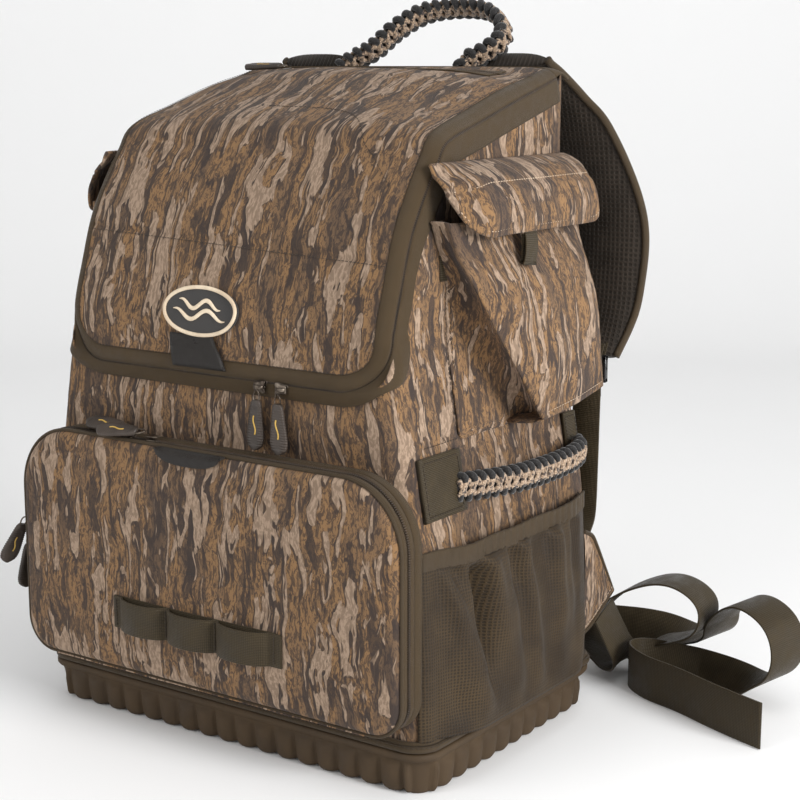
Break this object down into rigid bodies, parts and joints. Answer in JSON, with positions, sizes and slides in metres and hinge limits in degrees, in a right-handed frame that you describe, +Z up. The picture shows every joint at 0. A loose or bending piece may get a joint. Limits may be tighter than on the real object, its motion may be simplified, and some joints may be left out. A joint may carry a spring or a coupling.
{
  "type": "backpack",
  "caption": "Outdoor gear backpack with a fluted moulded tub, a curved zip lid, a fold-down front pocket, side pouches, mesh pockets, corded handles and waist webbing.",
  "frame": {"origin": "on the ground, under the middle of the tub's flat underside", "axes": "+Z up, -Y out of the pack's front, +X to the right as seen from the front"},
  "size_m": [0.5359, 0.4052, 0.5541],
  "materials": {
    "camo_fabric": "matt woven polyester with a bark pattern",
    "trim_fabric": "matt woven tape",
    "webbing": "ribbed webbing",
    "black_webbing": "ribbed webbing",
    "mesh": "open knitted mesh",
    "spacer_mesh": "padded spacer mesh",
    "paracord": "braided cord weave",
    "tub_rubber": "moulded, finely textured",
    "pull_rubber": "moulded, ribbed",
    "badge": "moulded patch with a pale border",
    "slider_metal": "dark antique",
    "black_plastic": "moulded, slightly glossy",
    "board": "plain sheet"
  },
  "bodies": {
    "root": {"back_pads": "spacer_mesh", "back_panel": "camo_fabric", "base_binding": "trim_fabric", "base_tub": "tub_rubber", "body_zipper_tape": "trim_fabric", "buckle_plug": "black_plastic", "buckle_socket": "black_plastic", "elastic_bands": "trim_fabric", "floor_board": "board", "frame_sheet": "board", "front_wall": "camo_fabric", "handle_patches": "trim_fabric", "hip_wings": "camo_fabric", "mesh_pocket_left": "mesh", "mesh_pocket_right": "mesh", "pocket_gusset": "camo_fabric", "shoulder_strap_left": "spacer_mesh", "shoulder_strap_right": "spacer_mesh", "side_panel_left": "camo_fabric", "side_panel_right": "camo_fabric", "side_pouch_left": "camo_fabric", "side_pouch_right": "camo_fabric", "side_zipper_tape": "trim_fabric", "strap_webbing": "webbing", "top_yoke": "camo_fabric", "waist_webbing_left": "webbing", "waist_webbing_right": "webbing"},
    "lid": {"lid_panel": "camo_fabric", "lid_zipper_tape": "trim_fabric", "lid_badge": "badge", "lid_grab_tab": "black_webbing", "lid_pocket_tape": "trim_fabric"},
    "front_pocket": {"pocket_panel": "camo_fabric", "pocket_zipper_tape": "trim_fabric", "pocket_hinge_strip": "camo_fabric", "pocket_grab_tab": "black_webbing", "daisy_webbing": "webbing"},
    "flap_right": {"side_flap_right": "camo_fabric"},
    "grip_right": {"side_handle_right": "paracord"},
    "lock_right": {"ladder_lock_right": "black_plastic"},
    "flap_left": {"side_flap_left": "camo_fabric"},
    "grip_left": {"side_handle_left": "paracord"},
    "lock_left": {"ladder_lock_left": "black_plastic"},
    "grab_handle": {"top_handle": "paracord"},
    "arm_front": {"buckle_arm_front": "black_plastic"},
    "arm_rear": {"buckle_arm_rear": "black_plastic"},
    "main_left_runner": {"main_left_slider": "slider_metal"},
    "main_left_tag": {"main_left_pull": "pull_rubber"},
    "main_right_runner": {"main_right_slider": "slider_metal"},
    "main_right_tag": {"main_right_pull": "pull_rubber"},
    "pocket_left_runner": {"pocket_left_slider": "slider_metal"},
    "pocket_left_tag": {"pocket_left_pull": "pull_rubber"},
    "pocket_right_runner": {"pocket_right_slider": "slider_metal"},
    "pocket_right_tag": {"pocket_right_pull": "pull_rubber"},
    "side_upper_runner": {"side_upper_slider": "slider_metal"},
    "side_upper_tag": {"side_upper_pull": "pull_rubber"},
    "side_lower_runner": {"side_lower_slider": "slider_metal"},
    "side_lower_tag": {"side_lower_pull": "pull_rubber"},
    "lid_pocket_runner": {"lid_pocket_slider": "slider_metal"},
    "lid_pocket_tag": {"lid_pocket_pull": "pull_rubber"}
  },
  "joints": [
    {"name": "lid_open", "type": "hinge", "parent": "root", "child": "lid", "pos_m": [0, 0.103, 0.4955], "axis": [-1, 0, 0], "range_deg": [0, 100]},
    {"name": "pocket_open", "type": "hinge", "parent": "root", "child": "front_pocket", "pos_m": [0, -0.137, 0.05], "axis": [1, 0, 0], "range_deg": [0, 85]},
    {"name": "top_handle_fold", "type": "hinge", "parent": "root", "child": "grab_handle", "pos_m": [0, 0.11, 0.501], "axis": [1, 0, 0], "range_deg": [-8, 18]},
    {"name": "flap_right_lift", "type": "hinge", "parent": "root", "child": "flap_right", "pos_m": [0.1535, 0.023, 0.43], "axis": [0, -1, 0], "range_deg": [0, 100]},
    {"name": "grip_right_swing", "type": "hinge", "parent": "root", "child": "grip_right", "pos_m": [0.1728, 0.015, 0.212], "axis": [0, -1, 0], "range_deg": [-10, 20]},
    {"name": "lock_right_tilt", "type": "hinge", "parent": "root", "child": "lock_right", "pos_m": [0.1595, 0.148, 0.275], "axis": [1, 0, 0], "range_deg": [0, 40]},
    {"name": "flap_left_lift", "type": "hinge", "parent": "root", "child": "flap_left", "pos_m": [-0.1535, 0.023, 0.43], "axis": [0, 1, 0], "range_deg": [0, 100]},
    {"name": "grip_left_swing", "type": "hinge", "parent": "root", "child": "grip_left", "pos_m": [-0.1728, 0.015, 0.212], "axis": [0, 1, 0], "range_deg": [-10, 20]},
    {"name": "lock_left_tilt", "type": "hinge", "parent": "root", "child": "lock_left", "pos_m": [-0.1595, 0.148, 0.275], "axis": [1, 0, 0], "range_deg": [0, 40]},
    {"name": "arm_front_press", "type": "slide", "parent": "root", "child": "arm_front", "axis": [0, 1, 0], "range_m": [0, 0.003], "stiffness_N_per_m": 400},
    {"name": "arm_rear_press", "type": "slide", "parent": "root", "child": "arm_rear", "axis": [0, -1, 0], "range_m": [0, 0.003], "stiffness_N_per_m": 400},
    {"name": "main_left_zip", "type": "slide", "parent": "root", "child": "main_left_runner", "axis": [1, 0, 0], "range_m": [-0.14, 0]},
    {"name": "main_left_pull_swing", "type": "hinge", "parent": "main_left_runner", "child": "main_left_tag", "pos_m": [0.044, -0.1292, 0.2785], "axis": [-1, 0, 0], "range_deg": [0, 120]},
    {"name": "main_right_zip", "type": "slide", "parent": "root", "child": "main_right_runner", "axis": [1, 0, 0], "range_m": [0, 0.04]},
    {"name": "main_right_pull_swing", "type": "hinge", "parent": "main_right_runner", "child": "main_right_tag", "pos_m": [0.063, -0.1292, 0.2785], "axis": [-1, 0, 0], "range_deg": [0, 120]},
    {"name": "pocket_left_zip", "type": "slide", "parent": "root", "child": "pocket_left_runner", "axis": [1, 0, 0], "range_m": [-0.04, 0]},
    {"name": "pocket_left_pull_swing", "type": "hinge", "parent": "pocket_left_runner", "child": "pocket_left_tag", "pos_m": [-0.077, -0.1305, 0.2371], "axis": [0, 1, 0], "range_deg": [0, 150]},
    {"name": "pocket_right_zip", "type": "slide", "parent": "root", "child": "pocket_right_runner", "axis": [1, 0, 0], "range_m": [0, 0.16]},
    {"name": "pocket_right_pull_swing", "type": "hinge", "parent": "pocket_right_runner", "child": "pocket_right_tag", "pos_m": [-0.053, -0.143, 0.2371], "axis": [0, 1, 0], "range_deg": [0, 150]},
    {"name": "side_upper_zip", "type": "slide", "parent": "root", "child": "side_upper_runner", "axis": [0, 0, 1], "range_m": [0, 0.012]},
    {"name": "side_upper_pull_swing", "type": "hinge", "parent": "side_upper_runner", "child": "side_upper_tag", "pos_m": [-0.1889, -0.128, 0.158], "axis": [0, 1, 0], "range_deg": [0, 120]},
    {"name": "side_lower_zip", "type": "slide", "parent": "root", "child": "side_lower_runner", "axis": [0, 0, 1], "range_m": [-0.035, 0]},
    {"name": "side_lower_pull_swing", "type": "hinge", "parent": "side_lower_runner", "child": "side_lower_tag", "pos_m": [-0.1889, -0.128, 0.132], "axis": [0, 1, 0], "range_deg": [0, 120]},
    {"name": "lid_pocket_zip", "type": "slide", "parent": "lid", "child": "lid_pocket_runner", "axis": [1, 0, 0], "range_m": [0, 0.2]},
    {"name": "lid_pocket_pull_swing", "type": "hinge", "parent": "lid_pocket_runner", "child": "lid_pocket_tag", "pos_m": [-0.091, 0.079, 0.4993], "axis": [0, 1, 0], "range_deg": [0, 150]}
  ]
}
